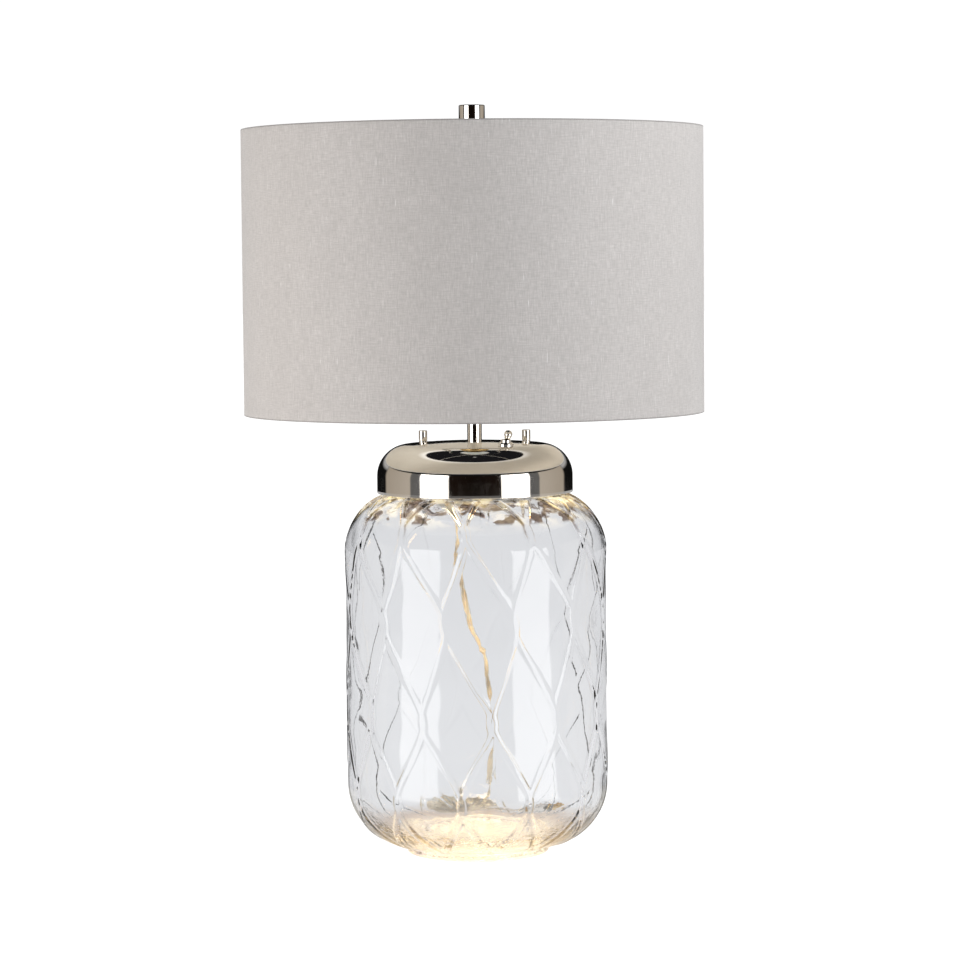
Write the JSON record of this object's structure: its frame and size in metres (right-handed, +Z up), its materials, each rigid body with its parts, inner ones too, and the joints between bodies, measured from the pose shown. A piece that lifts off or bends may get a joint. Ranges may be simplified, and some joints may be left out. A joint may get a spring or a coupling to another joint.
{
  "type": "table lamp with shade",
  "caption": "Table lamp: ribbed clear glass jar lit from within, domed nickel cap with toggle switch and stem, and a grey fabric drum shade on a harp.",
  "frame": {"origin": "centre of the foot, on the surface that the lamp stands on", "axes": "+Z up along the stem; -Y is the front, where the toggle switch stands; +X is to the right seen from the front"},
  "size_m": [0.4059, 0.406, 0.66],
  "materials": {
    "clear_glass": "clear pressed glass with raised trails, fire polished",
    "nickel": "polished nickel plate",
    "steel": "nickel-plated steel",
    "wire_white": "white enamelled wire",
    "brass": "bright brass",
    "rubber": "pale silicone",
    "led_body": "satin anodised",
    "led_board": "white circuit board",
    "led_light": "opal diffuser, lit warm white",
    "insulation": "fishpaper",
    "phenolic": "moulded phenolic",
    "driver_case": "white moulded case",
    "bulb_opal": "opal white",
    "fabric": "grey slubbed faux silk",
    "lining": "laminated styrene lining",
    "clear_pvc": "clear soft PVC over golden copper strands",
    "tie": "white nylon",
    "wire": "PVC insulated wire"
  },
  "bodies": {
    "base": {"glass_jar": "clear_glass", "neck_liner": "rubber", "neck_gasket": "rubber", "inner_lid": "steel", "led_housing": "led_body", "led_screws": "steel", "led_board": "led_board", "led_chips": "led_light", "led_lens": "led_light", "led_bezel": "led_body", "led_driver": "driver_case", "terminal_block": "phenolic", "cap_dome": "nickel", "cap_studs": "steel", "stud_nuts": "steel", "stud_washers": "nickel", "toggle_body": "phenolic", "toggle_bushing": "nickel", "toggle_nut": "nickel", "lamp_rod": "steel", "rod_nut_lower": "steel", "rod_nut_upper": "steel", "stem_tube": "nickel", "harp_saddle": "steel", "harp_bow": "steel", "harp_stud": "steel", "socket_cap": "brass", "socket_shell": "brass", "socket_liner": "insulation", "socket_core": "phenolic", "socket_screw_shell": "brass", "socket_contact": "brass", "cord_gland": "clear_pvc", "gland_nut": "steel", "cord_drop": "clear_pvc", "cord_coil": "clear_pvc", "cord_tail": "clear_pvc", "cord_tie": "tie", "plug_body": "clear_pvc", "plug_blades": "brass", "socket_wires": "wire", "supply_wires": "wire", "switch_wires": "wire", "led_wires": "wire"},
    "thumb_nut_l": {"thumb_nut_left": "nickel"},
    "thumb_nut_r": {"thumb_nut_right": "nickel"},
    "switch_lever": {"toggle_lever": "nickel"},
    "sleeve_l": {"harp_sleeve_left": "nickel"},
    "sleeve_r": {"harp_sleeve_right": "nickel"},
    "bulb": {"bulb_tip": "brass", "bulb_cap": "brass", "bulb_glass": "bulb_opal"},
    "shade": {"shade_fabric": "fabric", "shade_lining": "lining", "shade_spider": "wire_white", "shade_bottom_ring": "wire_white"},
    "finial_knob": {"finial": "nickel"}
  },
  "joints": [
    {"name": "shade_turn", "type": "hinge", "parent": "base", "child": "shade", "pos_m": [0, 0, 0.6263], "axis": [0, 0, 1], "continuous": true},
    {"name": "finial_turn", "type": "hinge", "parent": "base", "child": "finial_knob", "pos_m": [0, 0, 0.6286], "axis": [0, 0, 1], "continuous": true},
    {"name": "bulb_turn", "type": "hinge", "parent": "base", "child": "bulb", "pos_m": [0, 0, 0.4373], "axis": [0, 0, 1], "continuous": true},
    {"name": "thumb_nut_left_turn", "type": "hinge", "parent": "base", "child": "thumb_nut_l", "pos_m": [-0.046, 0.026, 0.36345], "axis": [0, 0, 1], "continuous": true},
    {"name": "thumb_nut_right_turn", "type": "hinge", "parent": "base", "child": "thumb_nut_r", "pos_m": [0.046, 0.026, 0.36345], "axis": [0, 0, 1], "continuous": true},
    {"name": "toggle_throw", "type": "hinge", "parent": "base", "child": "switch_lever", "pos_m": [0.02698, -0.04996, 0.36199], "axis": [-0.4736, 0.877, 0.0812], "range_deg": [-22, 0]},
    {"name": "sleeve_left_slide", "type": "slide", "parent": "base", "child": "sleeve_l", "axis": [0, 0, 1], "range_m": [0, 0.012]},
    {"name": "sleeve_right_slide", "type": "slide", "parent": "base", "child": "sleeve_r", "axis": [0, 0, 1], "range_m": [0, 0.012]}
  ]
}
